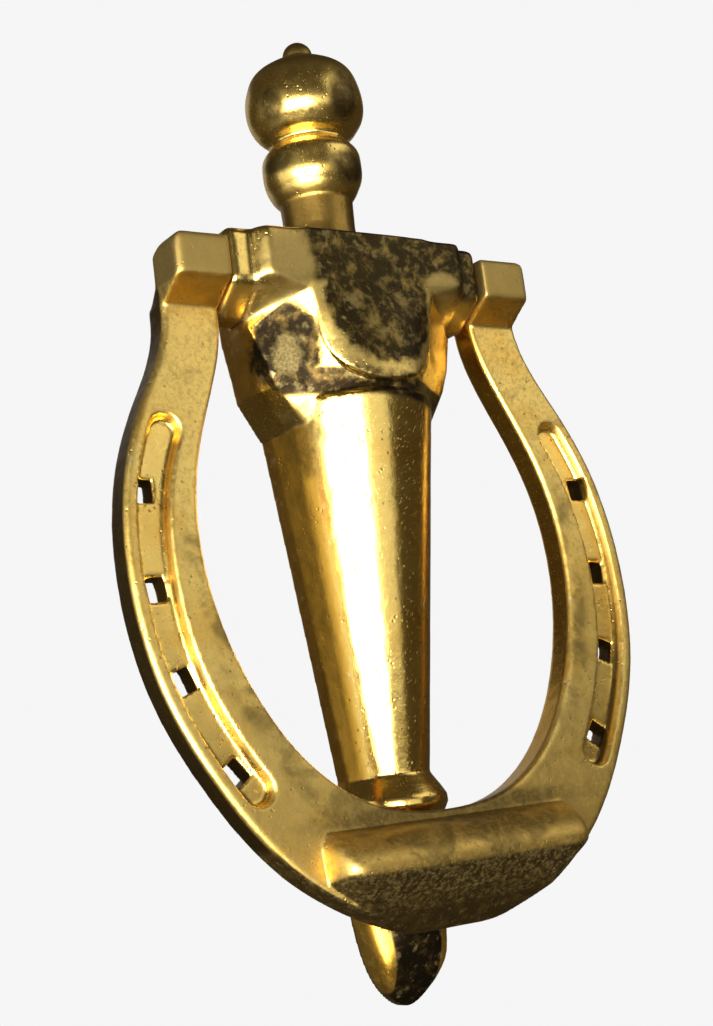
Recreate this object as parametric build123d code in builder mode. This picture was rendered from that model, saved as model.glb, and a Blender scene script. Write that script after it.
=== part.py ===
from build123d import *
import os
from math import acos, atan, cos, degrees, sin

# Horseshoe door knocker. Millimetres, +Z up, +X to the right of someone facing the door.
# The door's face is the plane y = 0 and the knocker stands out towards -Y.
# The origin is on that face, half way between the two fixing studs.

os.makedirs("parts", exist_ok=True)

# ---- Driving dimensions -------------------------------------------------------------------

# Hinge between the back casting and the horseshoe
HINGE_Y = -14.0
HINGE_Z = 51.0
PIN_RADIUS = 2.0
PIN_RUNNING_GAP = 0.05
PIN_INNER_X = 13.5
PIN_OUTER_X = 34.5
PIN_BORE_END_X = 35.5
PIN_CHAMFER = 0.4

# Column of the back casting: a D section that tapers from the waist to the foot, with a small bead on top
WAIST_Z = 27.4
COLUMN_BOTTOM_Z = -41.0
RIM_DEPTH = 4.0
RIM_DRAFT = 0.3
WAIST_SECTION = {"back": 16.05, "ridge": 15.5, "ridge_y": -9.35, "front_y": -23.7}
WAIST_BEAD_HEIGHT = 1.2
WAIST_BEAD_SECTION = {"back": 14.9, "ridge": 14.3, "ridge_y": -9.1, "front_y": -22.2}
COLUMN_BOTTOM = {"back": 8.15, "ridge": 7.45, "ridge_y": -7.0, "front_y": -13.1}

# Ring moulding at the foot of the column: sections from its top to the tongue's root
FOOT_SECTIONS = [
    (-43.4, {"back": 9.1, "ridge": 8.7, "ridge_y": -7.3, "front_y": -14.9}),
    (-45.2, {"back": 9.8, "ridge": 9.5, "ridge_y": -7.6, "front_y": -16.1}),
    (-46.7, {"back": 9.8, "ridge": 9.5, "ridge_y": -7.6, "front_y": -16.2}),
    (-48.2, {"back": 9.4, "ridge": 8.9, "ridge_y": -7.2, "front_y": -15.2}),
    (-49.2, {"back": 9.0, "ridge": 8.3, "ridge_y": -6.8, "front_y": -13.6}),
]
FOOT_BASE_Z = FOOT_SECTIONS[-1][0]

# Tongue that carries on below the foot: half outline as (x, z), nose profile as (y, z)
TONGUE_THICKNESS = 9.0
TONGUE_SIDE_DEPTH = 5.4
TONGUE_ROOT_HALF_WIDTH = 9.6
TONGUE_BOTTOM_Z = -82.0
TONGUE_OUTLINE = [(9.0, FOOT_BASE_Z), (8.7, -65.0), (7.3, -73.0), (4.5, -79.0)]
TONGUE_NOSE = [(-9.0, -62.5), (-6.9, -75.5), (-2.6, TONGUE_BOTTOM_Z)]

# Finial: neck, cup and ball turned about an upright axis and cut flat at the door.
# Profiles are (radius, height), upwards.
FINIAL_AXIS_Y = -5.9
NECK_PROFILE = [(0, 56.0), (7.4, 56.0), (6.9, 64.0), (7.1, 69.8)]
CUP_PROFILE = [(7.1, 69.8), (9.3, 73.4), (9.7, 76.5), (9.3, 79.6), (7.2, 81.5)]
BALL_PROFILE = [(7.2, 82.3), (10.8, 85.6), (11.6, 90.0), (10.2, 95.5), (7.0, 98.2), (2.9, 99.9)]
NIPPLE_TOP_Z = 103.7

# Chest half sections from the top down: height, rim, side, shoulder, crease, tongue edge, front.
# The flank is one plane down to the crease, which runs from the tongue at z 35 to the ridge at z 30.5.
CHEST_SECTIONS = [
    (58.6, 22.6, (23.3, -18.8), (21.4, -20.8), (14.1, -21.0), (13.4, -21.0), -21.2),
    (49.2, 22.6, (23.3, -18.6), (21.4, -20.6), (14.1, -20.9), (13.4, -20.9), -21.4),
    (47.2, 22.2, (22.9, -16.8), (14.2, -20.4), (13.7, -20.5), (13.1, -20.7), -21.6),
    (41.8, 21.9, (22.6, -8.6), (22.8, -12.2), (12.9, -19.6), (12.3, -20.3), -22.3),
    (35.0, 20.7, (20.9, -9.4), (20.4, -13.5), (12.0, -19.0), (11.5, -19.6), -22.8),
    (30.5, 20.1, (20.2, -9.8), (18.9, -13.1), (18.3, -13.6), (11.0, -18.4), -22.6),
    (23.3, 15.9, (15.3, -8.9), (14.0, -13.6), (13.2, -14.8), (9.7, -18.8), -22.5),
]

# Panel on the chest's front: half width, side and front at each height, and its outline as (x, z)
PANEL_SECTIONS = [
    (50.0, 13.6, -20.8, -21.2),
    (42.0, 13.0, -20.0, -23.2),
    (28.0, 12.4, -19.0, -24.3),
]
PANEL_OUTLINE = [(13.4, 48.4), (12.5, 41.5), (11.4, 36.2), (7.0, 31.2), (0, 29.5)]
PANEL_ROOT_Y = -14.0
PANEL_REACH = 40.0

# Lugs that carry the hinge pins; profile as (y, z)
LUG_OUTER_X = 28.0
LUG_PROFILE = [(-4.0, 43.6), (-10.5, 43.6), (-17.8, 48.4), (-17.8, 59.0), (-4.0, 59.0)]
LUG_CORNER_RADIUS = 1.8
LUG_END_RADIUS = 1.6

# Fixing studs and the two tapped bosses for them
STUD_SPACING = 90.0
STUD_RADIUS = 2.5
STUD_PITCH_RADIUS = 2.24
STUD_DEPTH = 9.0
STUD_REACH = 26.0
STUD_CHAMFER = 0.5
COUNTERSINK_RADIUS = 3.0
COUNTERSINK_ANGLE = 45.0

# Hollows in the back of the casting: a long pocket in the column and one each side of the chest
COLUMN_POCKET_TOP = {"z": 27.0, "width": 17.0, "depth": 17.0, "corner": 5.0}
COLUMN_POCKET_BOTTOM = {"z": -32.0, "width": 8.5, "depth": 9.0, "corner": 2.5}
CHEST_POCKET_X = 12.2
CHEST_POCKET_Z = 44.0
CHEST_POCKET_WIDTH = 12.0
CHEST_POCKET_HEIGHT = 22.0
CHEST_POCKET_DEPTH = 9.0
CHEST_POCKET_CORNER = 3.0

# Horseshoe plate: it leans out at the bottom, because it hangs on a stop
LEAN = 0.107
PLATE_FRONT_Y = -17.3
PLATE_THICKNESS = 6.1
PLATE_EDGE_RADIUS = 0.9
ARM_TOP_Z = 46.0

# Half curves of the plate's outer and inner sides as (x, z), from the arm's top to the toe
OUTER_SIDE = [(39.8, ARM_TOP_Z), (41.2, 37.5), (46.7, 26.5), (51.7, 14.0), (53.9, -6.0), (50.6, -25.5),
              (44.0, -39.5), (33.0, -54.2), (18.6, -64.1)]
OUTER_BOTTOM_Z = -69.0
INNER_SIDE = [(28.6, ARM_TOP_Z), (29.4, 38.0), (33.6, 26.5), (37.8, 15.0), (39.7, 1.0), (37.9, -14.0),
              (32.8, -27.5), (24.7, -38.8), (13.4, -46.0)]
INNER_BOTTOM_Z = -47.9

# Fuller groove and its nail holes
RIM_WIDTH = 2.3
GROOVE_WIDTH = 6.2
GROOVE_DEPTH = 2.0
GROOVE_FLOOR_WIDTH = 4.6
GROOVE_START = 0.19
GROOVE_END = 0.755
GROOVE_STEPS = 8
GROOVE_OVERCUT = 0.3
NAIL_HOLE_WIDTH = 3.4
NAIL_HOLE_LENGTH = 4.2
NAIL_HOLES = [(48.2, 11.0, -2.0), (48.6, -6.1, 5.0), (46.2, -21.8, 20.0), (39.4, -37.6, 37.0)]

# Bosses at the top of the arms; profile as (y, z)
BOSS_INNER_X = 28.4
BOSS_OUTER_X = 39.5
BOSS_TOP_RADIUS = 2.2
BOSS_FRONT_CUT = 0.9
BOSS_PROFILE = [(-19.0, 49.0), (-19.0, 56.0), (-18.2, 56.8), (-12.2, 56.8), (-9.6, 54.6),
                (-9.6, 49.0), (-6.4, 44.6), (-12.5, 45.0)]

# Thumb bar across the toe: half outlines as (x, z) at rising heights above the plate
BAR_OUTLINES = [
    (-1.0, [(25.6, -48.8), (27.0, -51.0), (27.0, -57.5), (19.6, -63.4)]),
    (3.4, [(25.2, -51.0), (26.6, -52.7), (26.6, -57.4), (20.6, -61.5)]),
    (5.8, [(24.4, -53.5), (25.7, -54.6), (25.7, -57.2), (21.1, -59.4)]),
    (6.9, [(23.2, -55.6), (24.3, -56.1), (24.3, -57.0), (21.2, -57.9)]),
]

# Slope that cuts the toe's underside, as (y, z)
TOE_SLOPE_FRONT = (-36.0, -51.0)
TOE_SLOPE_BACK = (-17.4, -69.6)
TOE_CLEAR_Z = -80.0

# Striker and anvil behind the toe
STRIKE_Z = -58.0
ANVIL_FACE_Y = -13.7
ANVIL_HEAD_RADIUS = 4.4
ANVIL_HEAD_HEIGHT = 2.4
ANVIL_SHANK_RADIUS = 2.2
ANVIL_SHANK_LENGTH = 7.0
ANVIL_BOSS_RADIUS = 6.4
ANVIL_BOSS_TAPER = 5.0
ANVIL_EDGE_RADIUS = 0.8
STRIKER_RADIUS = 4.0
STRIKER_SHANK_RADIUS = 2.0
STRIKER_SHANK_LENGTH = 4.0
STRIKER_EDGE_RADIUS = 1.6
STRIKE_GAP = 0.3


# ---- Shared shapes ------------------------------------------------------------------------

def d_face(section):
    """A D section: flat at the door, a rim, sides with draft and a round front."""
    back = section["back"]
    ridge = section["ridge"]
    ridge_y = section["ridge_y"]
    with BuildSketch() as face:
        with BuildLine():
            side = Polyline((-ridge, ridge_y), (-back, -RIM_DEPTH), (-back + RIM_DRAFT, 0),
                            (back - RIM_DRAFT, 0), (back, -RIM_DEPTH), (ridge, ridge_y))
            ThreePointArc(side @ 1, (0, section["front_y"]), side @ 0)
        make_face()
    return face.sketch


def plate_y(height):
    """Where the horseshoe's front face stands at a height."""
    return PLATE_FRONT_Y + LEAN * height


PLATE_PLANE = Plane(origin=(0, PLATE_FRONT_Y, 0), x_dir=(1, 0, 0), z_dir=(0, -1, LEAN))
SLOPE = (1 + LEAN * LEAN) ** 0.5


# ---- Back casting -------------------------------------------------------------------------

def chest_face(rim, side, shoulder, crease, tongue, front_y):
    """One whole chest section, mirrored from its right half."""
    half = [(rim - RIM_DRAFT, 0), (rim, -RIM_DEPTH), side, shoulder, crease, tongue]
    mirrored = [(-x, y) for x, y in half]
    with BuildSketch() as face:
        with BuildLine():
            outline = Polyline(*reversed(mirrored), *half)
            ThreePointArc(outline @ 1, (0, front_y), outline @ 0)
        make_face()
    return face.sketch


def panel_face(half_width, side_y, front_y):
    """One section of the chest's front panel, with its root inside the chest."""
    with BuildSketch() as face:
        with BuildLine():
            root = Polyline((-half_width, side_y), (-half_width, PANEL_ROOT_Y),
                            (half_width, PANEL_ROOT_Y), (half_width, side_y))
            ThreePointArc(root @ 1, (0, front_y), root @ 0)
        make_face()
    return face.sketch


def about_finial_axis(profile):
    """Turn (radius, height) points into (y, z) points in front of the finial's axis."""
    return [(FINIAL_AXIS_Y - radius, height) for radius, height in profile]


def ruled_loft(sections):
    """Loft straight from each section to the next; sections are pairs of height and face."""
    with BuildPart() as body:
        for pair in zip(sections, sections[1:]):
            for height, face in pair:
                with BuildSketch(Plane.XY.offset(height)):
                    add(face)
            loft(ruled=True)
    return body.part


with BuildPart() as back_casting:
    # Chest, down to the waist and the flare into the column
    add(ruled_loft([(section[0], chest_face(*section[1:])) for section in CHEST_SECTIONS]))
    # Tongue-shaped panel that stands proud of the chest's front
    with BuildPart(mode=Mode.PRIVATE) as panel:
        add(ruled_loft([(height, panel_face(*rest)) for height, *rest in PANEL_SECTIONS]))
        with BuildSketch(Plane.XZ):
            with BuildLine():
                edge = Spline(*PANEL_OUTLINE, *[(-x, z) for x, z in reversed(PANEL_OUTLINE[:-1])])
                Line(edge @ 1, edge @ 0)
            make_face()
        extrude(amount=PANEL_REACH, mode=Mode.INTERSECT)
    add(panel.part)
    # Column and the ring moulding at its foot
    add(ruled_loft([
        (WAIST_Z + WAIST_BEAD_HEIGHT, d_face(WAIST_BEAD_SECTION)),
        (WAIST_Z, d_face(WAIST_SECTION)),
        (COLUMN_BOTTOM_Z, d_face(COLUMN_BOTTOM)),
        *[(height, d_face(section)) for height, section in FOOT_SECTIONS],
    ]))

    # Hinge lugs
    with BuildPart(mode=Mode.PRIVATE) as lugs:
        with BuildSketch(Plane.YZ):
            with BuildLine():
                Polyline(*LUG_PROFILE, close=True)
            make_face()
            fillet(vertices(), LUG_CORNER_RADIUS)
        extrude(amount=LUG_OUTER_X, both=True)
        fillet(lugs.faces().sort_by(Axis.X)[0].edges(), LUG_END_RADIUS)
        fillet(lugs.faces().sort_by(Axis.X)[-1].edges(), LUG_END_RADIUS)
    add(lugs.part)

    # Finial, cut flat at the door
    with BuildPart(mode=Mode.PRIVATE) as finial:
        with BuildSketch(Plane.YZ):
            with BuildLine():
                neck = Polyline(*about_finial_axis(NECK_PROFILE))
                cup = Spline(*about_finial_axis(CUP_PROFILE))
                ball = Spline(*about_finial_axis(BALL_PROFILE))
                Line(cup @ 1, ball @ 0)
                nipple_radius = BALL_PROFILE[-1][0]
                nipple_height = NIPPLE_TOP_Z - BALL_PROFILE[-1][1]
                nipple_curve = (nipple_radius ** 2 + nipple_height ** 2) / (2 * nipple_height)
                nipple_sweep = acos(1 - nipple_height / nipple_curve)
                nipple_middle = (FINIAL_AXIS_Y - nipple_curve * sin(nipple_sweep / 2),
                                 NIPPLE_TOP_Z - nipple_curve * (1 - cos(nipple_sweep / 2)))
                ThreePointArc(ball @ 1, nipple_middle, (FINIAL_AXIS_Y, NIPPLE_TOP_Z))
                Line((FINIAL_AXIS_Y, NIPPLE_TOP_Z), neck @ 0)
            make_face()
        revolve(axis=Axis((0, FINIAL_AXIS_Y, 0), (0, 0, 1)))
        split(bisect_by=Plane.XZ, keep=Keep.TOP)
    add(finial.part)

    # Tongue below the foot: its outline, its D section and its rounded nose together
    with BuildPart(mode=Mode.PRIVATE) as tongue:
        with BuildSketch(Plane.XZ):
            with BuildLine():
                left = [(-x, z) for x, z in reversed(TONGUE_OUTLINE)]
                edge = Spline(*TONGUE_OUTLINE, (0, TONGUE_BOTTOM_Z), *left)
                Line(edge @ 1, edge @ 0)
            make_face()
        extrude(amount=TONGUE_THICKNESS)
        with BuildSketch(Plane.XY.offset(FOOT_BASE_Z)):
            with BuildLine():
                root = Polyline((-TONGUE_ROOT_HALF_WIDTH, -TONGUE_SIDE_DEPTH), (-TONGUE_ROOT_HALF_WIDTH, 0),
                                (TONGUE_ROOT_HALF_WIDTH, 0), (TONGUE_ROOT_HALF_WIDTH, -TONGUE_SIDE_DEPTH))
                ThreePointArc(root @ 1, (0, -TONGUE_THICKNESS), root @ 0)
            make_face()
        extrude(amount=TONGUE_BOTTOM_Z - FOOT_BASE_Z, mode=Mode.INTERSECT)
        with BuildSketch(Plane.YZ):
            with BuildLine():
                ThreePointArc(*TONGUE_NOSE)
                Polyline(TONGUE_NOSE[-1], (0, TONGUE_BOTTOM_Z), (0, FOOT_BASE_Z),
                         (-TONGUE_THICKNESS, FOOT_BASE_Z), TONGUE_NOSE[0])
            make_face()
        extrude(amount=TONGUE_ROOT_HALF_WIDTH, both=True, mode=Mode.INTERSECT)
    add(tongue.part)

    # Boss that carries the anvil
    with BuildSketch(Plane.XZ):
        with Locations((0, STRIKE_Z)):
            Circle(ANVIL_BOSS_RADIUS)
    extrude(amount=-(ANVIL_FACE_Y + ANVIL_HEAD_HEIGHT), taper=ANVIL_BOSS_TAPER)

    # Hollow back: one long pocket in the column and one on each side of the upper stud boss
    for pocket in (COLUMN_POCKET_TOP, COLUMN_POCKET_BOTTOM):
        with BuildSketch(Plane.XY.offset(pocket["z"])):
            RectangleRounded(pocket["width"], 2 * pocket["depth"], pocket["corner"])
    loft(mode=Mode.SUBTRACT)
    with BuildSketch(Plane.XZ):
        with Locations((-CHEST_POCKET_X, CHEST_POCKET_Z), (CHEST_POCKET_X, CHEST_POCKET_Z)):
            RectangleRounded(CHEST_POCKET_WIDTH, CHEST_POCKET_HEIGHT, CHEST_POCKET_CORNER)
    extrude(amount=CHEST_POCKET_DEPTH, mode=Mode.SUBTRACT)

    # Tapped holes for the fixing studs, each with a countersink
    with BuildSketch(Plane.XZ):
        with Locations((0, -STUD_SPACING / 2), (0, STUD_SPACING / 2)):
            Circle(STUD_PITCH_RADIUS)
    extrude(amount=STUD_DEPTH, mode=Mode.SUBTRACT)
    with BuildSketch(Plane.XZ):
        with Locations((0, -STUD_SPACING / 2), (0, STUD_SPACING / 2)):
            Circle(COUNTERSINK_RADIUS)
    extrude(amount=COUNTERSINK_RADIUS - STUD_PITCH_RADIUS, taper=COUNTERSINK_ANGLE, mode=Mode.SUBTRACT)

    # Hole for the hinge pins, through both lugs
    with BuildSketch(Plane.YZ):
        with Locations((HINGE_Y, HINGE_Z)):
            Circle(PIN_RADIUS)
    extrude(amount=LUG_OUTER_X + 1, both=True, mode=Mode.SUBTRACT)

    # Hole for the anvil's shank
    with BuildSketch(Plane.XZ.offset(-(ANVIL_FACE_Y + ANVIL_HEAD_HEIGHT))):
        with Locations((0, STRIKE_Z)):
            Circle(ANVIL_SHANK_RADIUS)
    extrude(amount=-ANVIL_SHANK_LENGTH, mode=Mode.SUBTRACT)

back_casting.part.label = "back_casting"
export_step(back_casting.part, "parts/back_casting.step")


# ---- Horseshoe ----------------------------------------------------------------------------

def on_plate(points):
    """Turn (x, height) points into the tilted plate's own coordinates."""
    return [(x, z * SLOPE) for x, z in points]


def u_shape(side_points, bottom_z):
    """A closed U: a smooth curve down one side, round the bottom and up the other."""
    right = on_plate(side_points)
    left = [(-x, z) for x, z in reversed(right)]
    with BuildSketch() as face:
        with BuildLine():
            curve = Spline(*right, (0, bottom_z * SLOPE), *left)
            Line(curve @ 1, curve @ 0)
        make_face()
    return face.sketch


def groove_centre(side):
    """Points along the middle of a groove, a fixed distance in from the plate's outer edge."""
    inset = RIM_WIDTH + GROOVE_WIDTH / 2
    outer_curve = Spline(*on_plate(OUTER_SIDE))
    centre = []
    for step in range(GROOVE_STEPS + 1):
        share = GROOVE_START + (GROOVE_END - GROOVE_START) * step / GROOVE_STEPS
        along = outer_curve % share
        point = outer_curve @ share + Vector(along.Y, -along.X) * inset
        centre.append((side * point.X, point.Y))
    return centre


def groove_cutter(side):
    """The groove's space: a trapezoid swept along the arm, with a cone at each end."""
    centre = groove_centre(side)
    wall_slope = (GROOVE_WIDTH - GROOVE_FLOOR_WIDTH) / 2 / GROOVE_DEPTH
    top_half_width = GROOVE_WIDTH / 2 + wall_slope * GROOVE_OVERCUT
    with BuildPart() as cutter:
        with BuildLine(PLATE_PLANE) as path:
            Spline(*centre)
        start = Plane(origin=path.line @ 0, x_dir=PLATE_PLANE.z_dir, z_dir=path.line % 0)
        with BuildSketch(start):
            with BuildLine():
                Polyline((GROOVE_OVERCUT, -top_half_width), (GROOVE_OVERCUT, top_half_width),
                         (-GROOVE_DEPTH, GROOVE_FLOOR_WIDTH / 2), (-GROOVE_DEPTH, -GROOVE_FLOOR_WIDTH / 2),
                         close=True)
            make_face()
        sweep(path=path.line)
        for point in (centre[0], centre[-1]):
            with BuildSketch(PLATE_PLANE.offset(GROOVE_OVERCUT)):
                with Locations(point):
                    Circle(top_half_width)
            extrude(amount=-GROOVE_DEPTH - GROOVE_OVERCUT, taper=degrees(atan(wall_slope)))
    return cutter.part


outer_face = u_shape(OUTER_SIDE, OUTER_BOTTOM_Z)
inner_face = u_shape(INNER_SIDE, INNER_BOTTOM_Z)

with BuildPart() as horseshoe:
    with BuildSketch(PLATE_PLANE):
        add(outer_face)
        add(inner_face, mode=Mode.SUBTRACT)
    extrude(amount=-PLATE_THICKNESS)
    fillet(horseshoe.edges().filter_by(GeomType.BSPLINE), PLATE_EDGE_RADIUS)

    # Thumb bar
    for pair in zip(BAR_OUTLINES, BAR_OUTLINES[1:]):
        for height, outline in pair:
            with BuildSketch(PLATE_PLANE.offset(height)):
                with BuildLine():
                    left = [(-x, z) for x, z in reversed(outline)]
                    Polyline(*on_plate(outline + left), close=True)
                make_face()
        loft(ruled=True)

    # Underside of the toe, cut on a slope
    with BuildSketch(Plane.YZ):
        with BuildLine():
            Polyline(TOE_SLOPE_FRONT, TOE_SLOPE_BACK, (TOE_SLOPE_BACK[0], TOE_CLEAR_Z),
                     (TOE_SLOPE_FRONT[0], TOE_CLEAR_Z), close=True)
        make_face()
    extrude(amount=OUTER_SIDE[0][0], both=True, mode=Mode.SUBTRACT)

    # Fuller grooves and nail holes
    for side in (-1, 1):
        add(groove_cutter(side), mode=Mode.SUBTRACT)
    with BuildSketch(PLATE_PLANE):
        for side in (-1, 1):
            for x, z, turn in NAIL_HOLES:
                with Locations(Location((side * x, z * SLOPE), -side * turn)):
                    Rectangle(NAIL_HOLE_WIDTH, NAIL_HOLE_LENGTH)
    extrude(amount=-2 * PLATE_THICKNESS, mode=Mode.SUBTRACT)

    # Bosses at the arm tops, each with a blind bore for its pin
    for side in (-1, 1):
        with BuildPart(mode=Mode.PRIVATE) as boss:
            with BuildSketch(Plane.YZ.offset(side * BOSS_INNER_X)):
                with BuildLine():
                    Polyline(*BOSS_PROFILE, close=True)
                make_face()
            extrude(amount=side * (BOSS_OUTER_X - BOSS_INNER_X))
            outer_end = boss.faces().sort_by(Axis.X)[-1 if side > 0 else 0]
            fillet(outer_end.edges().sort_by(Axis.Z)[-1], BOSS_TOP_RADIUS)
            with BuildSketch(Plane.XY.offset(BOSS_PROFILE[0][1])):
                with BuildLine():
                    Polyline((side * BOSS_OUTER_X, BOSS_PROFILE[0][0]),
                             (side * (BOSS_OUTER_X - BOSS_FRONT_CUT), BOSS_PROFILE[0][0]),
                             (side * BOSS_OUTER_X, BOSS_PROFILE[0][0] + BOSS_FRONT_CUT), close=True)
                make_face()
            extrude(amount=ARM_TOP_Z, both=True, mode=Mode.SUBTRACT)
        add(boss.part)
        with BuildSketch(Plane.YZ.offset(side * BOSS_INNER_X)):
            with Locations((HINGE_Y, HINGE_Z)):
                Circle(PIN_RADIUS + PIN_RUNNING_GAP)
        extrude(amount=side * (PIN_BORE_END_X - BOSS_INNER_X), mode=Mode.SUBTRACT)

    # Hole for the striker's shank
    STRIKER_PLANE = Plane(origin=(0, plate_y(STRIKE_Z) + PLATE_THICKNESS * SLOPE, STRIKE_Z),
                          x_dir=(1, 0, 0), z_dir=(0, 1, -LEAN))
    with BuildSketch(STRIKER_PLANE):
        Circle(STRIKER_SHANK_RADIUS)
    extrude(amount=-STRIKER_SHANK_LENGTH, mode=Mode.SUBTRACT)

horseshoe.part.label = "horseshoe"
export_step(horseshoe.part, "parts/horseshoe.step")


# ---- Hinge pins ---------------------------------------------------------------------------

def hinge_pin(side):
    """A steel pin, tight in its lug, with the horseshoe's boss running on its outer end."""
    with BuildPart() as pin:
        with BuildSketch(Plane.YZ.offset(side * PIN_INNER_X)):
            with Locations((HINGE_Y, HINGE_Z)):
                Circle(PIN_RADIUS)
        extrude(amount=side * (PIN_OUTER_X - PIN_INNER_X))
        chamfer(pin.edges().filter_by(GeomType.CIRCLE), PIN_CHAMFER)
    return pin


hinge_pin_right = hinge_pin(1)
hinge_pin_right.part.label = "hinge_pin_right"
export_step(hinge_pin_right.part, "parts/hinge_pin_right.step")

hinge_pin_left = hinge_pin(-1)
hinge_pin_left.part.label = "hinge_pin_left"
export_step(hinge_pin_left.part, "parts/hinge_pin_left.step")


# ---- Anvil and striker --------------------------------------------------------------------

with BuildPart() as anvil_button:
    with BuildSketch(Plane.XZ.offset(-(ANVIL_FACE_Y + ANVIL_HEAD_HEIGHT))):
        with Locations((0, STRIKE_Z)):
            Circle(ANVIL_HEAD_RADIUS)
    extrude(amount=ANVIL_HEAD_HEIGHT)
    fillet(anvil_button.edges().sort_by(Axis.Y)[0], ANVIL_EDGE_RADIUS)
    with BuildSketch(Plane.XZ.offset(-(ANVIL_FACE_Y + ANVIL_HEAD_HEIGHT))):
        with Locations((0, STRIKE_Z)):
            Circle(ANVIL_SHANK_RADIUS)
    extrude(amount=-ANVIL_SHANK_LENGTH)

anvil_button.part.label = "anvil_button"
export_step(anvil_button.part, "parts/anvil_button.step")

striker_height = ANVIL_FACE_Y - STRIKE_GAP - STRIKER_PLANE.origin.Y
with BuildPart() as striker_button:
    with BuildSketch(STRIKER_PLANE):
        Circle(STRIKER_RADIUS)
    extrude(amount=striker_height)
    fillet(striker_button.edges().sort_by(Axis.Y)[-1], STRIKER_EDGE_RADIUS)
    with BuildSketch(STRIKER_PLANE):
        Circle(STRIKER_SHANK_RADIUS)
    extrude(amount=-STRIKER_SHANK_LENGTH)

striker_button.part.label = "striker_button"
export_step(striker_button.part, "parts/striker_button.step")


# ---- Fixing studs -------------------------------------------------------------------------

def fixing_stud(height):
    """A threaded rod, screwed into the casting's back and long enough to pass a board.

    It is at its full radius outside the casting and at the thread's pitch radius inside it.
    """
    with BuildPart() as stud:
        with BuildSketch(Plane.XZ):
            with Locations((0, height)):
                Circle(STUD_RADIUS)
        extrude(amount=-STUD_REACH)
        chamfer(stud.edges().sort_by(Axis.Y)[-1], STUD_CHAMFER)
        with BuildSketch(Plane.XZ):
            with Locations((0, height)):
                Circle(STUD_PITCH_RADIUS)
        extrude(amount=STUD_DEPTH)
    return stud


upper_fixing_stud = fixing_stud(STUD_SPACING / 2)
upper_fixing_stud.part.label = "upper_fixing_stud"
export_step(upper_fixing_stud.part, "parts/upper_fixing_stud.step")

lower_fixing_stud = fixing_stud(-STUD_SPACING / 2)
lower_fixing_stud.part.label = "lower_fixing_stud"
export_step(lower_fixing_stud.part, "parts/lower_fixing_stud.step")
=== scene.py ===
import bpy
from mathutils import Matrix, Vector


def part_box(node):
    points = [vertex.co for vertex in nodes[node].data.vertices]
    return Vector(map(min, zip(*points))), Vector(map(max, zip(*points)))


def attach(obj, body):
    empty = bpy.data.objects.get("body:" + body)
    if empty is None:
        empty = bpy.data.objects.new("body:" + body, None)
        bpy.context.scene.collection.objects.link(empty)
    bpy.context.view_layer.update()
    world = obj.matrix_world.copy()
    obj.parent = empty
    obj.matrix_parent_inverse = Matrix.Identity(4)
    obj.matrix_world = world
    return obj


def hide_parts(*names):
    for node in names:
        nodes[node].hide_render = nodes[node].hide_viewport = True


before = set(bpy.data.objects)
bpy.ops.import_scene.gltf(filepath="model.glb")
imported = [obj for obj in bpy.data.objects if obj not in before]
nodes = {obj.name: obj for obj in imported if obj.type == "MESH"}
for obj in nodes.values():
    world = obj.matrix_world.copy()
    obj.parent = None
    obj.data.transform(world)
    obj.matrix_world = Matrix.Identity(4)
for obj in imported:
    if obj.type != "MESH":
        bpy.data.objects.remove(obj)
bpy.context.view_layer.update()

import math

import bmesh
import bpy
import numpy as np
from mathutils import Matrix, Vector

# Horseshoe door knocker in aged, polished cast brass. Lengths are in metres unless a comment says mm.
# The frame is the CAD's: +X right, +Y into the door, +Z up, origin on the door's face.

scene = bpy.context.scene
MM = 0.001

# ---- Camera: low, from the left and close in, as in the photograph -----------------------------
CAMERA_POSITION = Vector((-0.17265, -0.25734, -0.04492))
CAMERA_RIGHT = Vector((0.82994, -0.54337, -0.12630))
CAMERA_UP = Vector((0.00901, -0.21333, 0.97694))
CAMERA_FORWARD = Vector((0.55778, 0.81193, 0.17216))
CAMERA_LENS = 57.6
CAMERA_SENSOR = 36.0
CAMERA_RANGE = (0.01, 20.0)

# ---- Sizes of the pieces made here ------------------------------------------------------------
CAST_FACET = 0.50 * MM
CAST_DEPTH = 9
WELD = 0.002 * MM
# Passes of smoothing: over all of a casting, and then over the parts that hands and blows have worn
CAST_SMOOTHING = 3
COLLAR_WEAR = 18
TONGUE_WEAR = 42
SHOULDER_WEAR = 20
BAR_WEAR = 50
BOSS_WEAR = 12
HAND_FINISH = 0.05 * MM
HAND_FINISH_SIZE = 9.0 * MM

# The finial's turned profile as (radius, height) in mm, and its axis, as the CAD has them
FINIAL_AXIS_Y = -5.9
CUP_PROFILE = [(7.1, 69.8), (9.3, 73.4), (9.7, 76.5), (9.3, 79.6), (7.2, 81.5)]
BALL_PROFILE = [(7.2, 82.3), (10.8, 85.6), (11.6, 90.0), (10.2, 95.5), (7.0, 98.2), (2.9, 99.9)]
PROFILE_STEPS = 60
# How far from the profile, and how near its ends, the skin is still pulled on to it, in mm
TURNED_REACH = 0.3
TURNED_MARGIN = 1.4

THREAD_PITCH = 0.8 * MM
THREAD_CREST = 2.48 * MM
THREAD_ROOT = 2.08 * MM
# One pitch of the thread, as (share of the pitch, radius)
THREAD_PROFILE = ((0.0, THREAD_CREST), (0.14, THREAD_CREST), (0.5, THREAD_ROOT), (0.64, THREAD_ROOT))
THREAD_STEPS = 20
THREAD_END_RADIUS = 1.9 * MM
THREAD_WELD = 0.004 * MM

# Plane of the horseshoe's front face, in mm, as the CAD has it
PLATE_LEAN = 0.107
PLATE_FRONT_Y = -17.3

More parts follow.
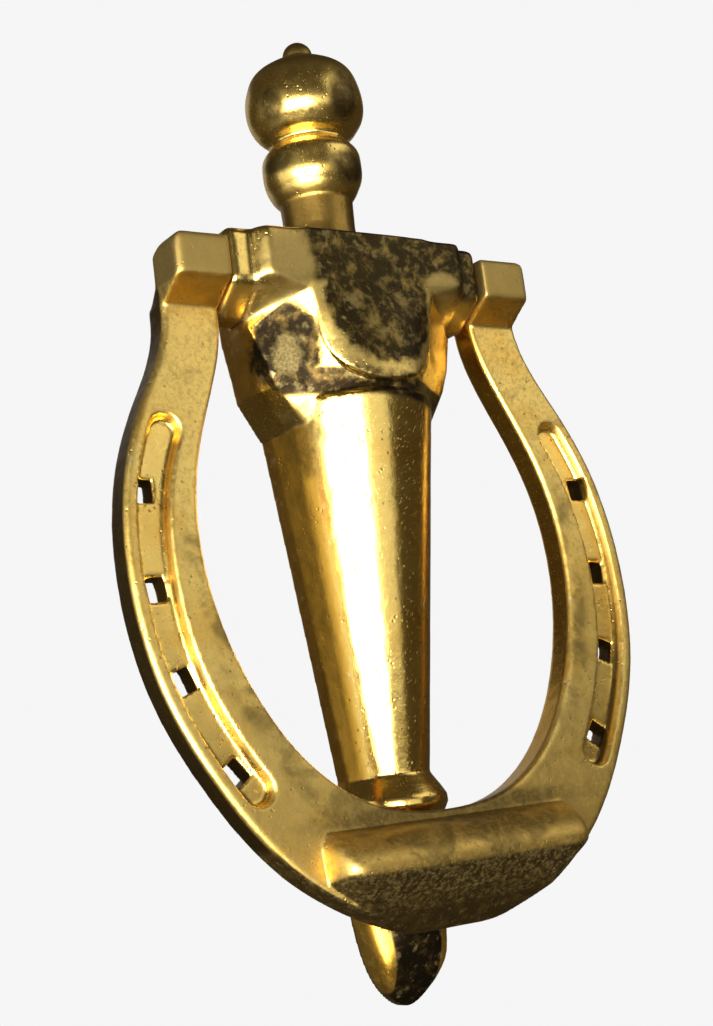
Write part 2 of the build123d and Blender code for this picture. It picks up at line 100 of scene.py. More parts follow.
# Half distance between the middles of the horseshoe's arms, in mm, as (height, half distance)
ARM_MIDDLES = ((-58.7, 0.0), (-55.5, 16.3), (-46.8, 29.3), (-33.5, 38.6), (-20.0, 44.4), (-2.5, 46.9),
               (14.5, 44.8), (26.5, 40.2), (38.0, 35.2), (60.0, 34.0))
ARM_LOW, ARM_HIGH, ARM_WIDEST = -60.0, 60.0, 60.0

# Height of the two buttons' common axis, in mm, and radians of their ring pattern to a mm of radius
BUTTON_Z = -58.0
RING_TURN = 22.0

FLOOR_Z = -0.26
FLOOR_RADIUS = 1.0
FLOOR_SEGMENTS = 96
FLOOR_ROUGHNESS = 0.9

# Each light's name, turn and lift in degrees, distance in metres, width and height in degrees as seen
# from the knocker, and brightness
LIGHTS = (
    ("key", -47, -13, 0.60, 58, 32, 16.0),
    ("front_fill", 4, -3, 0.70, 34, 26, 0.9),
    ("left_fill", -100, 0, 0.70, 34, 50, 1.0),
    ("top_right", 42, 30, 0.70, 44, 30, 1.1),
    ("back", 160, 20, 0.80, 60, 40, 0.35),
)


def link(obj):
    scene.collection.objects.link(obj)
    return obj


# ---- Node trees -------------------------------------------------------------------------------

class Field:
    """A number that varies over the surface: one socket of a node tree, with arithmetic."""

    def __init__(self, paint, socket):
        self.paint = paint
        self.socket = socket

    def maths(self, operation, other=None):
        node = self.paint.node("ShaderNodeMath", operation=operation)
        self.paint.feed(node.inputs[0], self)
        if other is not None:
            self.paint.feed(node.inputs[1], other)
        return Field(self.paint, node.outputs[0])

    def __add__(self, other):
        return self.maths("ADD", other)

    def __sub__(self, other):
        return self.maths("SUBTRACT", other)

    def __mul__(self, other):
        return self.maths("MULTIPLY", other)

    def __truediv__(self, other):
        return self.maths("DIVIDE", other)

    def __or__(self, other):
        return self.maths("MAXIMUM", other)

    def size(self):
        return self.maths("ABSOLUTE")

    def unless(self, other):
        """This mask where the other one isn't."""
        return self * other.flip()

    def flip(self):
        """1 where this mask is 0, and 0 where it is 1."""
        node = self.paint.node("ShaderNodeMath", operation="SUBTRACT", use_clamp=True)
        node.inputs[0].default_value = 1.0
        self.paint.feed(node.inputs[1], self)
        return Field(self.paint, node.outputs[0])

    def ramp(self, low, high):
        """0 at low, 1 at high and a smooth step between them; high may be the smaller."""
        node = self.paint.node("ShaderNodeMapRange", interpolation_type="SMOOTHSTEP")
        self.paint.feed(node.inputs["Value"], self)
        node.inputs["From Min"].default_value = low
        node.inputs["From Max"].default_value = high
        return Field(self.paint, node.outputs["Result"])


class Paint:
    """One material. Its fields are in mm in the object's own coordinates, so they move with the piece."""

    def __init__(self, name):
        self.material = bpy.data.materials.new(name)
        self.material.use_nodes = True
        self.tree = self.material.node_tree
        self.tree.nodes.clear()
        where = self.node("ShaderNodeTexCoord")
        scale = self.node("ShaderNodeVectorMath", operation="SCALE")
        self.tree.links.new(where.outputs["Object"], scale.inputs[0])
        scale.inputs["Scale"].default_value = 1 / MM
        self.place = scale.outputs[0]
        self.x, self.y, self.z = self.axes(self.place)
        self.right, self.inward, self.up = self.axes(where.outputs["Normal"])
        self.edge_noise = None

    def node(self, kind, **settings):
        node = self.tree.nodes.new(kind)
        for name, value in settings.items():
            setattr(node, name, value)
        return node

    def feed(self, socket, value):
        if isinstance(value, Field):
            self.tree.links.new(value.socket, socket)
        elif isinstance(value, bpy.types.NodeSocket):
            self.tree.links.new(value, socket)
        else:
            socket.default_value = value

    def axes(self, vector):
        node = self.node("ShaderNodeSeparateXYZ")
        self.tree.links.new(vector, node.inputs[0])
        return [Field(self, out) for out in node.outputs]

    def spot(self, stretch, turn):
        """The place, turned by angles in degrees and then stretched."""
        node = self.node("ShaderNodeMapping", vector_type="TEXTURE")
        self.tree.links.new(self.place, node.inputs["Vector"])
        node.inputs["Rotation"].default_value = [math.radians(a) for a in turn]
        node.inputs["Scale"].default_value = stretch
        return node.outputs[0]

    def noise(self, size, detail=3.0, rough=0.5, twist=0.0, stretch=None, turn=(0, 0, 0)):
        """Cloudy noise whose largest features are about size mm across."""
        node = self.node("ShaderNodeTexNoise")
        source = self.spot(stretch, turn) if stretch else self.place
        self.tree.links.new(source, node.inputs["Vector"])
        node.inputs["Scale"].default_value = 1 / size
        node.inputs["Detail"].default_value = detail
        node.inputs["Roughness"].default_value = rough
        node.inputs["Distortion"].default_value = twist
        return Field(self, node.outputs[0])

    def cells(self, size, spread=1.0):
        """Distance to the nearest of scattered points about size mm apart, in shares of size."""
        node = self.node("ShaderNodeTexVoronoi")
        self.tree.links.new(self.place, node.inputs["Vector"])
        node.inputs["Scale"].default_value = 1 / size
        node.inputs["Randomness"].default_value = spread
        return Field(self, node.outputs["Distance"])

    def curvature(self):
        """Above 0.5 on outer edges and below it in hollows."""
        return Field(self, self.node("ShaderNodeNewGeometry").outputs["Pointiness"])

    def blob(self, centre, radii, ragged=0.0, soft=0.35):
        """1 inside an ellipsoid and 0 outside it, with an uneven edge."""
        offset = self.node("ShaderNodeVectorMath", operation="SUBTRACT")
        self.tree.links.new(self.place, offset.inputs[0])
        offset.inputs[1].default_value = centre
        flat = self.node("ShaderNodeVectorMath", operation="DIVIDE")
        self.tree.links.new(offset.outputs[0], flat.inputs[0])
        flat.inputs[1].default_value = radii
        length = self.node("ShaderNodeVectorMath", operation="LENGTH")
        self.tree.links.new(flat.outputs[0], length.inputs[0])
        distance = Field(self, length.outputs["Value"])
        if ragged:
            distance = distance + (self.ragged_edge() - 0.5) * ragged
        return distance.ramp(1 + soft, 1 - soft)

    def blobs(self, places):
        """1 inside either of two blobs, each given as the arguments of blob."""
        first, second = places
        return self.blob(*first) | self.blob(*second)

    def ragged_edge(self):
        if self.edge_noise is None:
            self.edge_noise = self.noise(3.2, detail=6, rough=0.62)
        return self.edge_noise

    def blend(self, under, over, mask):
        """One colour over another; each is a list of three numbers or a socket."""
        node = self.node("ShaderNodeMix", data_type="RGBA")
        self.feed(node.inputs["Factor"], mask)
        for socket, colour in ((node.inputs[6], under), (node.inputs[7], over)):
            self.feed(socket, colour if isinstance(colour, bpy.types.NodeSocket) else (*colour, 1.0))
        return node.outputs[2]

    def shade(self, colour, rough, relief, height, metal=1.0):
        """Ends the tree: a principled shader with a bump of the given height in mm."""
        shader = self.node("ShaderNodeBsdfPrincipled")
        bump = self.node("ShaderNodeBump")
        bump.inputs["Strength"].default_value = 1.0
        bump.inputs["Distance"].default_value = height * MM
        self.feed(bump.inputs["Height"], relief)
        self.tree.links.new(bump.outputs[0], shader.inputs["Normal"])
        self.feed(shader.inputs["Base Color"], colour)
        self.feed(shader.inputs["Roughness"], rough)
        self.feed(shader.inputs["Metallic"], metal)
        out = self.node("ShaderNodeOutputMaterial")
        self.tree.links.new(shader.outputs[0], out.inputs["Surface"])
        return self.material


# ---- Materials --------------------------------------------------------------------------------

YELLOW_BRASS = (0.90, 0.64, 0.175)
ORANGE_BRASS = (0.78, 0.43, 0.05)
BROWN_FILM_AND_SHADE = (0.130, 0.072, 0.017)
BLACK_PATINA_AND_SHADE = (0.017, 0.012, 0.006)
KHAKI = (0.36, 0.27, 0.10)
PALE_WEAR = (0.95, 0.76, 0.36)
STEEL = (0.60, 0.58, 0.54)
DULL_STEEL = (0.34, 0.32, 0.29)
FLOOR_GREY = (0.86, 0.86, 0.85)
BACKDROP = (0.92, 0.92, 0.92)
DARK_ROOM = (0.055, 0.042, 0.028)
CASTING_POLISH = 0.14
STRIKER_POLISH = 0.15
SATIN_ROUGHNESS = 0.22
PATINA_ROUGHNESS = 0.20
KHAKI_ROUGHNESS = 0.20
CAST_RELIEF = 0.035
TURNED_RELIEF = 0.02
STEEL_RELIEF = 0.01

# Patches of tarnish, and of painted shade on the chest's flank and along the thumb bar's top: centre and
# radii of an ellipsoid in mm, how ragged its edge is and how soft
PANEL = ((0.8, -21.0, 46.0), (11.6, 9.0, 14.2), 0.35, 0.06)
PANEL_RIM = ((0.4, -21.0, 46.0), (13.4, 9.0, 16.6), 0.5, 0.08)
CORNERS = (((16.5, -20.0, 49.2), (4.0, 5.0, 2.6), 1.0), ((-17.5, -18.0, 52.5), (5.0, 8.0, 6.5), 0.8))
FLANK = ((-16.8, -14.6, 37.4), (5.6, 9.0, 8.4), 0.5, 0.12)
FLANK_SPOT = ((-16.9, -15.0, 36.6), (2.3, 3.6, 3.4), 2.2, 0.4)
COLUMN_PATCH = ((-14.6, -13.0, 21.0), (3.4, 5.5, 7.0), 1.4)
BALL_PATCHES = (((-11.6, -11.0, 86.5), (2.8, 4.0, 4.6), 1.0), ((2.2, -17.5, 88.0), (3.4, 4.0, 5.6), 1.0))
CUP_PATCHES = (((-9.8, -9.0, 76.5), (3.0, 5.0, 2.0), 1.0), ((3.2, -15.5, 74.5), (5.0, 4.0, 3.0), 1.0))
SADDLE = ((0.0, -23.0, -48.0), (27.0, 6.0, 2.6), 0.8)

# Where one kind of surface gives way to the next, in mm from none of it to all of it.
# The first group is on the back casting and the second on the horseshoe.
WING_INNER, WING_TOP, WING_BACK = (12.8, 14.2), (48.6, 47.6), (-8.0, -10.0)
BAND_BOTTOM, BAND_TOP, BAND_LEFT = (47.4, 49.4), (63.0, 60.5), (-18.0, -14.5)
# BELOW_TOP and BELOW_BOTTOM bound a band of painted shade beneath the chest's panel
BELOW_TOP, BELOW_BOTTOM = (32.0, 31.0), (25.8, 27.2)
# SIDE and STRIP bound the orange painted reflection on the side walls and the chest's side
SIDE_BOTTOM, SIDE_TOP = (-52.0, -48.0), (60.0, 57.0)
STRIP_BOTTOM, STRIP_TOP, STRIP_FRONT, STRIP_BACK = (26.0, 30.0), (44.0, 41.0), (-13.6, -12.6), (-8.0, -9.0)
TONGUE_TOP, TONGUE_EDGE = (-54.0, -56.0), (5.8, 6.4)
NECK_BOTTOM, NECK_TOP = (58.0, 60.0), (73.0, 69.0)
FINIAL_BOTTOM = (68.0, 72.0)
CROWN_BOTTOM = (92.0, 96.5)

BEHIND_PLATE, AHEAD_OF_PLATE = (0.7, 1.5), (-0.8, -1.8)
GROOVE_LIP, GROOVE_FLOOR = (0.9, 1.6), (2.6, 2.2)
GROOVE_INNER, GROOVE_OUTER, GROOVE_END = (-3.0, -2.0), (5.0, 4.0), (-50.0, -47.0)
ARM_HALVES, SHADOW_INNER, SHADOW_TOP = (-1.0, 1.0), (-2.6, -5.0), (16.0, 0.0)
BOSS_BOTTOM, FACET_BOTTOM, FACET_TOP = (47.6, 48.8), (44.6, 45.4), (49.4, 48.6)
TOE_TOP, BAR_TOP, LOW_PART = (-50.0, -52.5), (-44.0, -46.0), (-30.0, -52.0)

# The wings' lower edges fall by this much for each mm outwards, from this height at the middle
WING_SLOPE, WING_FOOT = 0.77, 58.7
# The tongue narrows by this much for each mm downwards, and has its edge's width at this height
TONGUE_TAPER, TONGUE_TAPER_Z = 0.10, -62.0


def aged_brass(paint, black, brown, warm, satin, khaki, plain, polish):
    """Cast brass: polished metal under a brown film, black patina and khaki tarnish; the brown and black
    also carry painted shade, and the warm mask painted reflections.

    Each of these is a mask. Where plain is 1 the edges get no wear and the hollows no dirt.
    """
    tone = paint.noise(11.0, detail=4, twist=0.4)
    cloud = paint.noise(3.0, detail=7, rough=0.68, twist=0.3)
    fine = paint.noise(0.5, detail=4, rough=0.65)
    specks = paint.cells(1.25).ramp(0.24, 0.12) * paint.noise(2.6, detail=2).ramp(0.50, 0.60)
    scratches = (paint.noise(0.16, detail=1, stretch=(1, 1, 22), turn=(0, 24, 10)).ramp(0.70, 0.78)
                 | paint.noise(0.14, detail=1, stretch=(18, 1, 1), turn=(0, -31, 0)).ramp(0.72, 0.80))
    curve = paint.curvature()
    edge = curve.ramp(0.53, 0.60).unless(plain) * paint.noise(2.2, detail=4).ramp(0.30, 0.55)
    hollow = curve.ramp(0.480, 0.44).unless(plain)
    uneven = cloud.ramp(0.28, 0.66)
    grain = fine.ramp(0.36, 0.62)

    # Warmth is a random warmer tone plus the warm mask, which in places is a painted reflection
    warmth = (tone.ramp(0.44, 0.70) * 0.4) | warm
    # The brown film and black patina also lay down the painted shade that the masks hold
    film_and_shade = (brown * (uneven * 0.15 + 0.85)) | (hollow * 0.7) | (specks * 0.55)
    patina_and_shade = black * (cloud.ramp(0.30, 0.54) * 0.40 + 0.60)
    tarnish = khaki * (grain * 0.5 + 0.5)
    wear = edge * 0.5 * (black * 0.6).flip()
    colour = paint.blend(YELLOW_BRASS, ORANGE_BRASS, warmth)
    colour = paint.blend(colour, BROWN_FILM_AND_SHADE, film_and_shade)
    colour = paint.blend(colour, BLACK_PATINA_AND_SHADE, patina_and_shade)
    colour = paint.blend(colour, KHAKI, tarnish)
    colour = paint.blend(colour, PALE_WEAR, wear)

    rough = (uneven * 0.07 + polish + satin * SATIN_ROUGHNESS + khaki * KHAKI_ROUGHNESS
             + (black | brown) * PATINA_ROUGHNESS + fine * 0.05 + scratches * 0.10)
    relief = fine * 0.5 + cloud * 1.2 + tone * 2.0 - specks * 1.2 - scratches * 0.5
    return paint.shade(colour, rough, relief, CAST_RELIEF)


def casting_paint():
    paint = Paint("cast_brass_back")
    x, y, z = paint.x, paint.y, paint.z
    across = x.size()
    mottled = paint.noise(6.5, detail=6, rough=0.6, twist=0.6)
    ragged = (mottled - 0.5) * 5.0
    front = paint.inward.ramp(-0.30, -0.55)
    spots = paint.noise(2.1, detail=4, rough=0.55).ramp(0.54, 0.68)

    # Chest: a dark band and a dark U-shaped panel with a khaki rim, khaki wings, and a dark flank; the
    # flank's dark and a band beneath the panel are painted shade
    ridge = z + across * WING_SLOPE - WING_FOOT
    wing = ridge.ramp(-0.4, 0.6) * across.ramp(*WING_INNER) * z.ramp(*WING_TOP) * y.ramp(*WING_BACK)
    band = (z + ragged * 0.7).ramp(*BAND_BOTTOM) * (x + ragged).ramp(*BAND_LEFT) * z.ramp(*BAND_TOP)
    panel = paint.blob(*PANEL)
    plate = ((band | panel) * front).unless(wing)
    rim = (paint.blob(*PANEL_RIM) * front).unless(plate)
    corner = paint.blobs(CORNERS)
    # Beneath the panel, above the column's waist, a band is darkened as painted shade in the cove there,
    # with khaki spots
    under = z + ragged * 0.2 + x * 0.12
    below = under.ramp(*BELOW_TOP) * under.ramp(*BELOW_BOTTOM) * front.unless(panel | rim)
    # The flank's dark is painted shade, strongest on its left part, with a khaki spot on it
    flank = paint.blob(*FLANK).unless(wing)
    flank_spot = paint.blob(*FLANK_SPOT)

    # Column and what is above and below it
    # The side walls and the chest's side strip are turned orange: a painted reflection of warm brown
    # surroundings
    side = paint.right.size().ramp(0.86, 0.95) * z.ramp(*SIDE_BOTTOM) * z.ramp(*SIDE_TOP)
    strip = z.ramp(*STRIP_BOTTOM) * z.ramp(*STRIP_TOP) * y.ramp(*STRIP_FRONT) * y.ramp(*STRIP_BACK)
    tongue = z.ramp(*TONGUE_TOP) * paint.inward.ramp(0.2, -0.1)
    tongue_side = tongue * (across - (z - TONGUE_TAPER_Z) * TONGUE_TAPER).ramp(*TONGUE_EDGE)
    neck = z.ramp(*NECK_BOTTOM) * z.ramp(*NECK_TOP)
    finial = z.ramp(*FINIAL_BOTTOM)
    crown = (z + ragged * 0.5).ramp(*CROWN_BOTTOM)
    column_dark = paint.blob(*COLUMN_PATCH)
    ball_dark = paint.blobs(BALL_PATCHES)
    cup_dark = paint.blobs(CUP_PATCHES)

    black = (plate * 0.95 | flank | below * 0.95 | tongue.unless(tongue_side) | column_dark * 0.7
             | ball_dark * 0.8 | cup_dark * 0.75 | mottled.ramp(0.66, 0.76) * 0.3)
    brown = (neck * 0.75 | crown * 0.85 | side * 0.15 | tongue.unless(tongue_side) | corner * 0.5
             | plate * 0.5 | ball_dark * 0.6 | cup_dark * 0.6 | flank | below)
    warm = (side | strip | tongue_side) * 0.95 | neck * 0.5
    khaki = ((plate | tongue) * spots * 0.6 | flank_spot * 0.65 | rim * 0.45 | corner * 0.6
             | wing * 0.35 | (flank | below) * spots * 0.4)
    satin = side * 0.4 | tongue * 0.9 | wing * 0.3 | rim * 0.3 | finial * 0.22 | flank * 0.5
    return aged_brass(paint, black.unless(corner), brown, warm, satin, khaki,
                      plain=finial, polish=CASTING_POLISH)


def arm_middle(paint):
    """Half distance between the arms' middles at each height: an arm's inner half is nearer than that."""
    node = paint.node("ShaderNodeFloatCurve")
    paint.feed(node.inputs["Value"], (paint.z - ARM_LOW) / (ARM_HIGH - ARM_LOW))
    points = node.mapping.curves[0].points
    for index, (level, middle) in enumerate(ARM_MIDDLES):
        place = ((level - ARM_LOW) / (ARM_HIGH - ARM_LOW), middle / ARM_WIDEST)
        if index < 2:
            points[index].location = place
        else:
            points.new(*place)
    node.mapping.update()
    return Field(paint, node.outputs[0]) * ARM_WIDEST


def horseshoe_paint():
    paint = Paint("cast_brass_striker")
    x, y, z = paint.x, paint.y, paint.z
    depth = y - (z * PLATE_LEAN + PLATE_FRONT_Y)
    behind = depth.ramp(*BEHIND_PLATE)
    beyond = x.size() - arm_middle(paint)
    outer = beyond.ramp(*ARM_HALVES)
    mottled = paint.noise(7.0, detail=6, rough=0.6, twist=0.5)
    grainy = paint.noise(0.9, detail=5, rough=0.72).ramp(0.44, 0.62)
    dust = paint.noise(1.5, detail=5, rough=0.7).ramp(0.52, 0.66)

    boss = z.ramp(*BOSS_BOTTOM)
    boss_side = boss * paint.inward.ramp(-0.75, -0.5)
    # The bosses' down-facing lower facets are turned orange: a painted reflection
    facet = z.ramp(*FACET_BOTTOM) * z.ramp(*FACET_TOP) * paint.up.ramp(-0.15, -0.35)
    # The toe's down-facing underside is darkened as painted shade, with khaki dust on it
    toe = paint.up.ramp(-0.25, -0.55) * paint.inward.ramp(0.3, -0.1) * z.ramp(*TOE_TOP)
    bar = depth.ramp(*AHEAD_OF_PLATE) * z.ramp(*BAR_TOP)
    sunk = depth.ramp(*GROOVE_LIP) * depth.ramp(*GROOVE_FLOOR)
    groove = sunk * beyond.ramp(*GROOVE_INNER) * beyond.ramp(*GROOVE_OUTER) * z.ramp(*GROOVE_END)
    rim = (behind * outer).unless(groove)
    inner_edge = beyond.ramp(*SHADOW_INNER) * z.ramp(*SHADOW_TOP)
    shadow = inner_edge * behind.flip() * mottled.ramp(0.42, 0.60)
    # A dark line along the thumb bar's top, where it meets the plate, is painted shade
    saddle = paint.blob(*SADDLE)
    low = z.ramp(*LOW_PART)

    black = rim * 0.6 | shadow * 0.55 | saddle * 0.6 | boss_side * 0.4 | toe * 0.72
    brown = (rim * 0.85 | toe * 0.95 | saddle * 0.6 | boss * 0.60 | boss_side * 0.85 | bar * 0.26
             | low * 0.34 | mottled.ramp(0.54, 0.74) * 0.45)
    warm = (behind * outer.flip()).unless(groove) * 0.8 | facet * 0.9 | bar * 0.3 | low * 0.2 | toe * 0.3
    khaki = (boss.unless(facet) * 0.35 | bar * grainy * 0.6 | behind.flip() * grainy * 0.4
             | toe * dust * 0.35)
    satin = behind.flip() * 0.7 | toe | boss * 0.6 | groove * 0.35
    return aged_brass(paint, black.unless(groove), brown.unless(groove | facet), warm, satin,
                      khaki.unless(groove), plain=toe, polish=STRIKER_POLISH)


def turned_paint():
    """The buttons: turned brass with rings round their axis and a bright, beaten face."""
    paint = Paint("turned_brass")
    square = paint.x.maths("POWER", 2.0) + (paint.z - BUTTON_Z).maths("POWER", 2.0)
    rings = (square.maths("SQRT") * RING_TURN).maths("SINE")
    cloud = paint.noise(1.6, detail=6, rough=0.65)
    colour = paint.blend(YELLOW_BRASS, ORANGE_BRASS, cloud.ramp(0.4, 0.7))
    colour = paint.blend(colour, BROWN_FILM_AND_SHADE, cloud.ramp(0.55, 0.75) * 0.7)
    rough = cloud.ramp(0.3, 0.7) * 0.2 + 0.24
    return paint.shade(colour, rough, rings * 0.5 + cloud, TURNED_RELIEF)


def steel_paint():
    """Zinc-plated steel with dull patches."""
    paint = Paint("plated_steel")
    cloud = paint.noise(2.4, detail=6, rough=0.65)
    fine = paint.noise(0.3, detail=2)
    colour = paint.blend(STEEL, DULL_STEEL, cloud.ramp(0.45, 0.7))
    rough = cloud.ramp(0.35, 0.7) * 0.22 + 0.26
    return paint.shade(colour, rough, fine + cloud, STEEL_RELIEF)


def cover(piece, material):
    """Gives all of a piece one material; a CAD node keeps its mesh and takes it on its own slots."""
    if not piece.data.materials:
        piece.data.materials.append(None)
    for place in piece.material_slots:
        place.link = "OBJECT"
        place.material = material


# ---- Cast pieces: the CAD shapes with the soft edges of a hand-finished casting ----------------

def settled_mesh(obj):
    """Applies the object's modifiers."""
    evaluated = obj.evaluated_get(bpy.context.evaluated_depsgraph_get())
    mesh = bpy.data.meshes.new_from_object(evaluated)
    obj.modifiers.clear()
    obj.data = mesh


def soft_casting(name, node):
    """A copy of a CAD node with even facets and softened edges."""
    mesh = nodes[node].data.copy()
    mesh.materials.clear()
    welder = bmesh.new()
    welder.from_mesh(mesh)
    bmesh.ops.remove_doubles(welder, verts=welder.verts, dist=WELD)
    welder.to_mesh(mesh)
    welder.free()
    piece = link(bpy.data.objects.new(name, mesh))
    remesh = piece.modifiers.new("even", "REMESH")
    remesh.mode = "SHARP"
    remesh.octree_depth = CAST_DEPTH
    remesh.scale = max(piece.dimensions) / (CAST_FACET * 2 ** CAST_DEPTH)
    remesh.use_remove_disconnected = False
    smooth = piece.modifiers.new("soften", "SMOOTH")
    smooth.factor = 0.5
    smooth.iterations = CAST_SMOOTHING
    settled_mesh(piece)
    piece.data.shade_smooth()
    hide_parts(node)
    return piece


def points_of(mesh):
    flat = np.empty(len(mesh.vertices) * 3)
    mesh.vertices.foreach_get("co", flat)
    return flat.reshape(-1, 3)


def set_points(mesh, points):
    mesh.vertices.foreach_set("co", points.ravel())
    mesh.update()


def smooth_curve(points, steps):
    """Points along a smooth curve through (radius, height) points."""
    pts = np.array(points)
    ends = np.vstack((2 * pts[0] - pts[1], pts, 2 * pts[-1] - pts[-2]))
    curve = []
    for i in range(1, len(ends) - 2):
        a, b, c, d = ends[i - 1:i + 3]
        for t in np.linspace(0, 1, steps, endpoint=False):
            curve.append(0.5 * (2 * b + (c - a) * t + (2 * a - 5 * b + 4 * c - d) * t * t
                                + (3 * b - a - 3 * c + d) * t ** 3))
    curve.append(pts[-1])
    return np.array(curve)


def turn_finial(piece):
    """Puts the finial's skin on its turned profile, so that no facet shows in a reflection."""
    points = points_of(piece.data) / MM
    out_y = points[:, 1] - FINIAL_AXIS_Y
    radius = np.hypot(points[:, 0], out_y)
    for profile in (CUP_PROFILE, BALL_PROFILE):
        curve = smooth_curve(profile, PROFILE_STEPS)
        margin = np.minimum(points[:, 2] - curve[0, 1], curve[-1, 1] - points[:, 2])
        margin = np.minimum(margin, -points[:, 1])
        for i in np.nonzero(margin > 0)[0]:
            gap = curve - (radius[i], points[i, 2])
            nearest = np.argmin((gap ** 2).sum(1))
            near = min(2 - 2 * np.hypot(*gap[nearest]) / TURNED_REACH, 1.0)
            pull = max(near, 0.0) * min(margin[i] / TURNED_MARGIN, 1.0)
            new_radius = radius[i] + gap[nearest][0] * pull
            points[i, 0] *= new_radius / radius[i]
            points[i, 1] = FINIAL_AXIS_Y + out_y[i] * new_radius / radius[i]
            points[i, 2] += gap[nearest][1] * pull
    set_points(piece.data, points * MM)


def fade(value, low, high):
    """0 at low and 1 at high, held beyond them; high may be the smaller."""
    return np.clip((value - low) / (high - low), 0, 1)


def soften(piece, worn, iterations):
    """Wears edges down further where worn, a function of x, y and z in mm, is above 0."""
    amounts = worn(*(points_of(piece.data) / MM).T)
    group = piece.vertex_groups.new(name="worn")
    for i in np.nonzero(amounts > 0.02)[0]:
        group.add([int(i)], float(amounts[i]), "REPLACE")
    smooth = piece.modifiers.new("wear", "SMOOTH")
    smooth.vertex_group = group.name
    smooth.factor = 0.5
    smooth.iterations = iterations
    settled_mesh(piece)
    piece.vertex_groups.clear()


def worn_bar(x, y, z):
    """The thumb bar, by how far it stands out of the plate's front."""
    return fade(PLATE_FRONT_Y + PLATE_LEAN * z - y, 0.2, 1.6) * fade(z, -40, -44)


def worn_bosses(x, y, z):
    """The hinge bosses at the tops of the arms."""
    return fade(z, 44, 47)


def worn_tongue(x, y, z):
    """The tongue's front, clear of the face that lies on the door."""
    return fade(z, -52, -56) * fade(y, -2.5, -4.5)


def worn_collar(x, y, z):
    """The hollow between the finial's cup and its ball."""
    return fade(z, 78.5, 80.5) * fade(z, 87.5, 85.5) * fade(y, 0.0, -1.0)


def worn_shoulders(x, y, z):
    """The chest's upper corners and the roots of the lugs, but not the lugs' ends."""
    return fade(abs(x), 13, 16) * fade(abs(x), 27.4, 26) * fade(z, 47, 49) * fade(y, -4, -7)


def hand_finish(piece):
    """Very low swells, as filing and polishing leave them."""
    texture = bpy.data.textures.new(piece.name + "_swell", "CLOUDS")
    texture.noise_scale = HAND_FINISH_SIZE
    swell = piece.modifiers.new("swell", "DISPLACE")
    swell.texture = texture
    swell.texture_coords = "LOCAL"
    swell.strength = 2 * HAND_FINISH
    swell.mid_level = 0.5
    settled_mesh(piece)


casting = soft_casting("back_casting_skin", "back_casting")
turn_finial(casting)
soften(casting, worn_collar, COLLAR_WEAR)
soften(casting, worn_tongue, TONGUE_WEAR)
soften(casting, worn_shoulders, SHOULDER_WEAR)
hand_finish(casting)
cover(casting, casting_paint())
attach(casting, "back")

striker = soft_casting("horseshoe_skin", "horseshoe")
soften(striker, worn_bar, BAR_WEAR)
soften(striker, worn_bosses, BOSS_WEAR)
hand_finish(striker)
cover(striker, horseshoe_paint())
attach(striker, "striker")


# ---- Studs with real threads ------------------------------------------------------------------

def threaded_stud(name, node):
    """A stud with a helical thread and chamfered ends, in place of a CAD node's plain one."""
    low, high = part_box(node)
    axis_x = (low.x + high.x) / 2
    axis_z = (low.z + high.z) / 2
    turns = math.ceil((high.y - low.y) / THREAD_PITCH) + 2
    rings = [(turn + share, radius) for turn in range(-1, turns) for share, radius in THREAD_PROFILE]
    body = bmesh.new()
    columns = []
    for step in range(THREAD_STEPS + 1):
        share = step / THREAD_STEPS
        angle = 2 * math.pi * share
        column = []
        for ring, radius in rings:
            y = min(max(low.y + (ring + share) * THREAD_PITCH, low.y), high.y)
            radius = min(radius, THREAD_END_RADIUS + min(y - low.y, high.y - y))
            x = axis_x + radius * math.cos(angle)
            z = axis_z + radius * math.sin(angle)
            column.append(body.verts.new((x, y, z)))
        columns.append(column)
    for here, there in zip(columns, columns[1:]):
        for a, b, c, d in zip(here, here[1:], there[1:], there):
            body.faces.new((a, b, c, d))
    bmesh.ops.remove_doubles(body, verts=body.verts, dist=THREAD_WELD)
    bmesh.ops.dissolve_degenerate(body, edges=body.edges, dist=THREAD_WELD)
    bmesh.ops.holes_fill(body, edges=[e for e in body.edges if e.is_boundary], sides=0)
    bmesh.ops.recalc_face_normals(body, faces=body.faces)
    mesh = bpy.data.meshes.new(name)
    body.to_mesh(mesh)
    body.free()
    piece = link(bpy.data.objects.new(name, mesh))
    cover(piece, steel)
    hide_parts(node)
    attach(piece, "back")


steel = steel_paint()
threaded_stud("upper_threaded_stud", "upper_fixing_stud")
threaded_stud("lower_threaded_stud", "lower_fixing_stud")

turned = turned_paint()
for node in ("anvil_button", "striker_button"):
    cover(nodes[node], turned)
for node in ("hinge_pin_left", "hinge_pin_right"):
    cover(nodes[node], steel)


# ---- Camera, floor and light ------------------------------------------------------------------

camera_data = bpy.data.cameras.new("camera")
camera_data.sensor_width = CAMERA_SENSOR
camera_data.lens = CAMERA_LENS
camera_data.clip_start, camera_data.clip_end = CAMERA_RANGE
camera = link(bpy.data.objects.new("camera", camera_data))
axes = Matrix((CAMERA_RIGHT, CAMERA_UP, -CAMERA_FORWARD)).transposed()
camera.matrix_world = Matrix.Translation(CAMERA_POSITION) @ axes.to_4x4()
scene.camera = camera


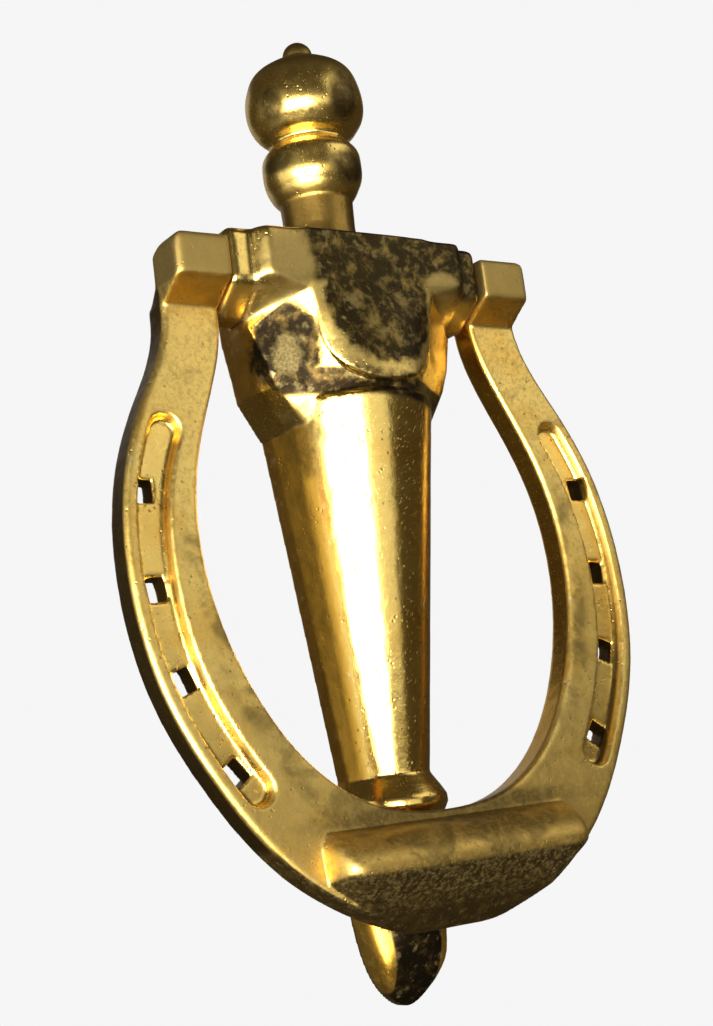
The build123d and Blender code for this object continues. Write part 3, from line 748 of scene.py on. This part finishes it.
def pale_floor():
    floor_maker = bmesh.new()
    bmesh.ops.create_circle(floor_maker, cap_ends=True, segments=FLOOR_SEGMENTS, radius=FLOOR_RADIUS,
                            matrix=Matrix.Translation((0, 0, FLOOR_Z)))
    mesh = bpy.data.meshes.new("floor")
    floor_maker.to_mesh(mesh)
    floor_maker.free()
    floor = link(bpy.data.objects.new("floor", mesh))
    material = bpy.data.materials.new("pale_floor")
    material.use_nodes = True
    shader = material.node_tree.nodes["Principled BSDF"]
    shader.inputs["Base Color"].default_value = (*FLOOR_GREY, 1)
    shader.inputs["Roughness"].default_value = FLOOR_ROUGHNESS
    cover(floor, material)
    floor.visible_glossy = False


def soft_light(name, turn, lift, distance, wide, high, brightness):
    """A soft rectangular light that faces the knocker; turn and lift are where it is seen from there."""
    turn, lift = math.radians(turn), math.radians(lift)
    aim = Vector((math.sin(turn) * math.cos(lift), -math.cos(turn) * math.cos(lift), math.sin(lift)))
    data = bpy.data.lights.new(name, "AREA")
    data.shape = "RECTANGLE"
    data.size = 2 * distance * math.tan(math.radians(wide / 2))
    data.size_y = 2 * distance * math.tan(math.radians(high / 2))
    data.energy = brightness * data.size * data.size_y * math.pi
    light = link(bpy.data.objects.new(name, data))
    light.location = aim * distance
    light.rotation_mode = "QUATERNION"
    light.rotation_quaternion = aim.to_track_quat("Z", "Y")
    light.visible_camera = False


pale_floor()
for light_settings in LIGHTS:
    soft_light(*light_settings)

world = bpy.data.worlds.new("studio")
world.use_nodes = True
tree = world.node_tree
# A pale backdrop for the eye, and a dark room for the brass to reflect
surround = tree.nodes["Background"]
surround.inputs["Color"].default_value = (*BACKDROP, 1)
dark_room = tree.nodes.new("ShaderNodeBackground")
dark_room.inputs["Color"].default_value = (*DARK_ROOM, 1)
rays = tree.nodes.new("ShaderNodeLightPath")
choice = tree.nodes.new("ShaderNodeMixShader")
tree.links.new(rays.outputs["Is Glossy Ray"], choice.inputs[0])
tree.links.new(surround.outputs[0], choice.inputs[1])
tree.links.new(dark_room.outputs[0], choice.inputs[2])
tree.links.new(choice.outputs[0], tree.nodes["World Output"].inputs["Surface"])
scene.world = world
scene.view_settings.view_transform = "Standard"
